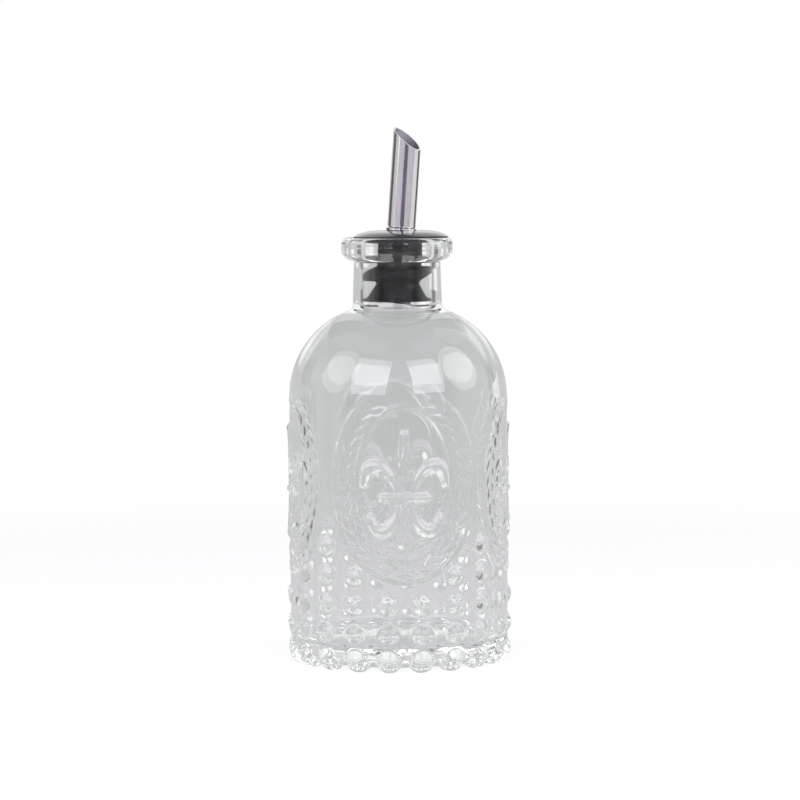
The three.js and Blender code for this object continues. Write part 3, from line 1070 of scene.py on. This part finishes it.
@dataclass(frozen=True)
class Softbox:
    """One soft lamp, placed by its direction from the object and sized by the angle that it fills."""

    name: str
    shape: LampShape
    azimuth: float
    elevation: float
    width: float
    height: float
    radiance: float
    colour: Colour
    distance: float = 1.3

    def hang(self, target: Vector) -> None:
        """Hangs the lamp, facing the target. Its power is radiance x pi x area.

        Args:
            target: the point that it faces, in metres.
        """
        lamp = bpy.data.lights.new(self.name, "AREA")
        lamp.shape = self.shape.value
        lamp.size = 2 * self.distance * tan(radians(self.width / 2))
        lamp.size_y = 2 * self.distance * tan(radians(self.height / 2))
        area = lamp.size * (lamp.size_y if self.shape is LampShape.RECTANGLE else lamp.size * pi / 4)
        lamp.energy = self.radiance * pi * area
        lamp.color = self.colour
        a, e = radians(self.azimuth), radians(self.elevation)
        away = Vector((sin(a) * cos(e), -cos(a) * cos(e), sin(e)))
        hung = bpy.data.objects.new(self.name, lamp)
        hung.location = target + away * self.distance
        hung.rotation_euler = away.to_track_quat("Z", "Y").to_euler()
        bpy.context.scene.collection.objects.link(hung)


@dataclass(frozen=True)
class Card:
    """A pale or dark card that stands near the tube, curved round it, for the polished steel to mirror."""

    name: str
    start: float
    end: float
    colour: Colour
    foot_gain: float = 1.0
    bottom: float = 121.0
    top: float = 180.0
    distance: float = 45.0
    one_mirror: float = 1.5
    steps: int = 12

    def stand(self) -> None:
        """Sets up the card, seen by reflections only, and brighter by its foot gain in a second reflection.

        Its points are (d sin a, -d cos a, z), with a between the two angles and z at bottom and top.
        """
        a = np.radians(np.linspace(self.start, self.end, self.steps + 1))
        low, high = (np.full(len(a), level) for level in (self.bottom, self.top))
        x, y = self.distance * np.sin(a), -self.distance * np.cos(a)
        points = np.concatenate([np.column_stack([x, y, low]), np.column_stack([x, y, high])])
        j = np.arange(self.steps)
        above = j + len(a)
        card = mesh_object(self.name, points, np.column_stack([j, j + 1, above + 1, above]))
        material, graph = new_material(self.name)
        mirrors = graph.add("ShaderNodeLightPath").outputs["Glossy Depth"]
        twice = graph.maths("GREATER_THAN", mirrors, self.one_mirror)
        strength = graph.maths("ADD", 1.0, graph.maths("MULTIPLY", twice, self.foot_gain))
        graph.show(graph.add("ShaderNodeEmission", {"Color": self.colour, "Strength": strength}))
        card.data.materials.append(material)
        for kind in ("camera", "diffuse", "transmission", "volume_scatter", "shadow"):
            setattr(card, f"visible_{kind}", False)


@dataclass
class Studio:
    """White studio: pale floor, soft lamps, a pale surround with darker gaps, and the camera.

    Heights in the surround are the upward part of a direction. Bearings are named in hang_surround.
    """

    camera_distance: float = 1.05
    camera_height: float = 0.1592
    camera_azimuth: float = -3.3
    camera_pitch: float = 4.435
    camera_yaw: float = 0.033
    camera_roll: float = -0.37
    lens: float = 158.4
    sensor: float = 36.0
    lamp_target: Triple = (0.0, 0.0, 0.08)
    floor_half: float = 2000.0
    floor_colour: Colour = (0.62, 0.615, 0.635)
    floor_glow: float = 0.545
    floor_glow_in_glass: float = 0.36
    floor_fade: Pair = (0.22, 0.5)
    ambient: Colour = (0.3, 0.3, 0.3)
    table: Colour = (0.77, 0.765, 0.79)
    table_edge: Pair = (-0.2, -0.06)
    ceiling: Colour = (0.52, 0.53, 0.53)
    ceiling_edge: Pair = (0.2, 0.5)
    seen_through: tuple[Four, ...] = (
        (0.0, 0.55, 0.555, 0.56), (0.3, 0.56, 0.565, 0.57), (0.5, 0.60, 0.605, 0.61),
        (0.57, 0.44, 0.44, 0.44), (0.645, 0.44, 0.44, 0.44), (0.70, 0.72, 0.73, 0.73),
        (0.85, 0.82, 0.82, 0.82), (1.0, 0.66, 0.66, 0.66),
    )
    right_wall: Patch = Patch(WHITE, (-0.2, -0.06, -0.08, -0.066), (0.42, 0.5, 0.7, 0.8))
    dim_doorway: Patch = Patch((0.2, 0.2, 0.19), (-0.08, -0.066, 0.12, 0.2), (0.44, 0.5, 0.64, 0.72))
    side_sky: Patch = Patch(WHITE, (-0.06, 0.0, 0.1, 0.22), (0.09, 0.16, 0.26, 0.36))
    seen_in_steel: tuple[Four, ...] = (
        (0.0, 0.15, 0.145, 0.165), (0.06, 0.15, 0.145, 0.165), (0.095, 0.15, 0.14, 0.16),
        (0.32, 0.15, 0.14, 0.16), (0.345, 0.14, 0.14, 0.15), (0.375, 0.8, 0.78, 0.77),
        (0.525, 0.92, 0.90, 0.88), (0.57, 0.62, 0.61, 0.61), (0.86, 0.60, 0.60, 0.61),
        (1.0, 0.60, 0.60, 0.61),
    )
    dim_ceiling: Colour = (0.2, 0.19, 0.21)
    dim_ceiling_edge: Pair = (0.5, 0.8)
    back_glow: Patch = Patch(WHITE, (0.08, 0.2, 0.75, 0.9), (0.74, 0.82, 1.0, 1.1))
    softboxes: tuple[Softbox, ...] = (
        Softbox("softbox_left", LampShape.RECTANGLE, -35.0, 24.5, 38.0, 36.0, 3.4, (0.97, 0.955, 1.0)),
        Softbox("softbox_right", LampShape.RECTANGLE, 30.5, 24.9, 34.0, 34.0, 3.4, (0.97, 0.955, 1.0)),
        Softbox("round_left", LampShape.ROUND, -75.0, 25.0, 40.0, 40.0, 1.7, (1.0, 0.985, 0.97)),
        Softbox("round_right", LampShape.ROUND, 75.0, 26.0, 40.0, 40.0, 2.2, (1.0, 0.985, 0.97)),
    )
    cards: tuple[Card, ...] = (
        Card("front_card_left", -61.0, -15.0, (0.65, 0.62, 0.69)),
        Card("front_card_right", 15.0, 61.0, (0.65, 0.62, 0.69)),
        Card("side_card_left", -97.0, -66.0, (0.74, 0.72, 0.72)),
        Card("side_card_right", 66.0, 106.0, (0.92, 0.9, 0.89)),
        Card("dark_card_left", -136.0, -100.0, (0.15, 0.14, 0.145), foot_gain=0.0),
        Card("dark_card_right", 106.0, 134.0, (0.15, 0.14, 0.145), foot_gain=0.0),
    )

    def place_camera(self) -> None:
        """Stands the camera where the photograph was taken from, level with the beak's tip."""
        data = bpy.data.cameras.new("camera")
        data.sensor_width = self.sensor
        data.lens = self.lens
        camera = bpy.data.objects.new("camera", data)
        a = radians(self.camera_azimuth)
        away = self.camera_distance
        camera.location = (away * sin(a), -away * cos(a), self.camera_height)
        aim = Euler((pi / 2 - radians(self.camera_pitch), 0.0, a - radians(self.camera_yaw))).to_matrix()
        camera.rotation_euler = (aim @ Matrix.Rotation(radians(self.camera_roll), 3, "Z")).to_euler()
        bpy.context.scene.collection.objects.link(camera)
        bpy.context.scene.camera = camera

    def lay_floor(self) -> None:
        """Lays the floor: matt and pale, lifted to white for the camera, fading into the white surround."""
        corners = np.array([[-1, -1, 0], [1, -1, 0], [1, 1, 0], [-1, 1, 0]]) * self.floor_half
        floor = mesh_object("floor", corners, np.array([[0, 1, 2, 3]]))
        material, graph = new_material("pale_floor")
        away = graph.add("ShaderNodeVectorMath", {0: graph.place()}, operation="LENGTH").outputs["Value"]
        path = graph.add("ShaderNodeLightPath").outputs
        in_glass = graph.maths("MAXIMUM", path["Is Glossy Ray"], path["Is Transmission Ray"])
        dimmed = graph.maths("MULTIPLY", in_glass, self.floor_glow_in_glass)
        seen = graph.maths("MAXIMUM", path["Is Camera Ray"], dimmed)
        strength = graph.maths("MULTIPLY", seen, self.floor_glow)
        matt = graph.add("ShaderNodeBsdfDiffuse", {"Color": self.floor_colour})
        glow = graph.add("ShaderNodeEmission", {"Color": WHITE, "Strength": strength})
        lit = graph.add("ShaderNodeAddShader", {0: matt.outputs[0], 1: glow.outputs[0]})
        clear = graph.add("ShaderNodeBsdfTransparent")
        fade = graph.ramp(away, *self.floor_fade)
        graph.show(graph.add("ShaderNodeMixShader", {0: fade, 1: lit.outputs[0], 2: clear.outputs[0]}))
        floor.data.materials.append(material)

    def hang_surround(self) -> None:
        """Wires the world: white for the camera, one panorama seen through glass, one seen in reflections.

        The first goes by the angle off the front and back, 0 to 1 for 0 to 90 degrees, and its right wall by
        the sideways part of the direction. The second goes by the angle off the camera's side, 0 to 1 for
        0 to 180 degrees.
        """
        world = bpy.data.worlds.new("surround")
        world.use_nodes = True
        bpy.context.scene.world = world
        graph = NodeGraph(world.node_tree)
        way = graph.add("ShaderNodeSeparateXYZ", {0: graph.add("ShaderNodeTexCoord").outputs["Generated"]})
        x, y, z = (way.outputs[name] for name in "XYZ")
        aside = graph.maths("ABSOLUTE", x)
        off = graph.maths("DIVIDE", graph.maths("ARCTAN2", aside, graph.maths("ABSOLUTE", y)), pi / 2)
        nearer = graph.maths("MULTIPLY", y, -1.0)
        round_by = graph.maths("DIVIDE", graph.maths("ARCTAN2", aside, nearer), pi)
        over_table = graph.ramp(z, *self.table_edge)
        on_wall = graph.maths("MULTIPLY", over_table, graph.ramp(z, *self.ceiling_edge, 1.0, 0.0))
        plain = graph.blend(over_table, self.table, self.ceiling)
        through = graph.blend(on_wall, plain, graph.stops(off, self.seen_through))
        through = graph.patched(through, self.right_wall, z, x)
        through = graph.patched(through, self.dim_doorway, z, off)
        through = graph.patched(through, self.side_sky, z, off)
        mirrored = graph.blend(over_table, self.table, graph.stops(round_by, self.seen_in_steel))
        mirrored = graph.blend(graph.ramp(z, *self.dim_ceiling_edge), mirrored, self.dim_ceiling)
        mirrored = graph.patched(mirrored, self.back_glow, z, round_by)
        path = graph.add("ShaderNodeLightPath").outputs
        seen = graph.blend(path["Is Transmission Ray"], mirrored, through)
        in_glass = graph.maths("MAXIMUM", path["Is Glossy Ray"], path["Is Transmission Ray"])
        colour = graph.blend(path["Is Camera Ray"], graph.blend(in_glass, self.ambient, seen), WHITE)
        background = graph.add("ShaderNodeBackground", {"Color": colour, "Strength": 1.0})
        graph.add("ShaderNodeOutputWorld", {"Surface": background.outputs[0]})

    def build(self) -> None:
        """Sets up camera, floor, surround, lamps and cards."""
        bpy.context.scene.view_settings.view_transform = "Standard"
        self.place_camera()
        self.lay_floor()
        self.hang_surround()
        for softbox in self.softboxes:
            softbox.hang(Vector(self.lamp_target))
        for card in self.cards:
            card.stand()
        log.info("studio: %d soft lamps, %d cards, pale floor, camera at %.2f m",
                 len(self.softboxes), len(self.cards), self.camera_distance)


def main() -> None:
    """Builds the studio and the three pieces in order."""
    logging.basicConfig(level=logging.INFO, format="%(name)s: %(message)s")
    Studio().build()
    axis = LeaningAxis()
    PressedBottle().build()
    FinnedStopper(axis=axis).build()
    SlantedSpout(axis=axis).build()


if __name__ == "__main__":
    main()
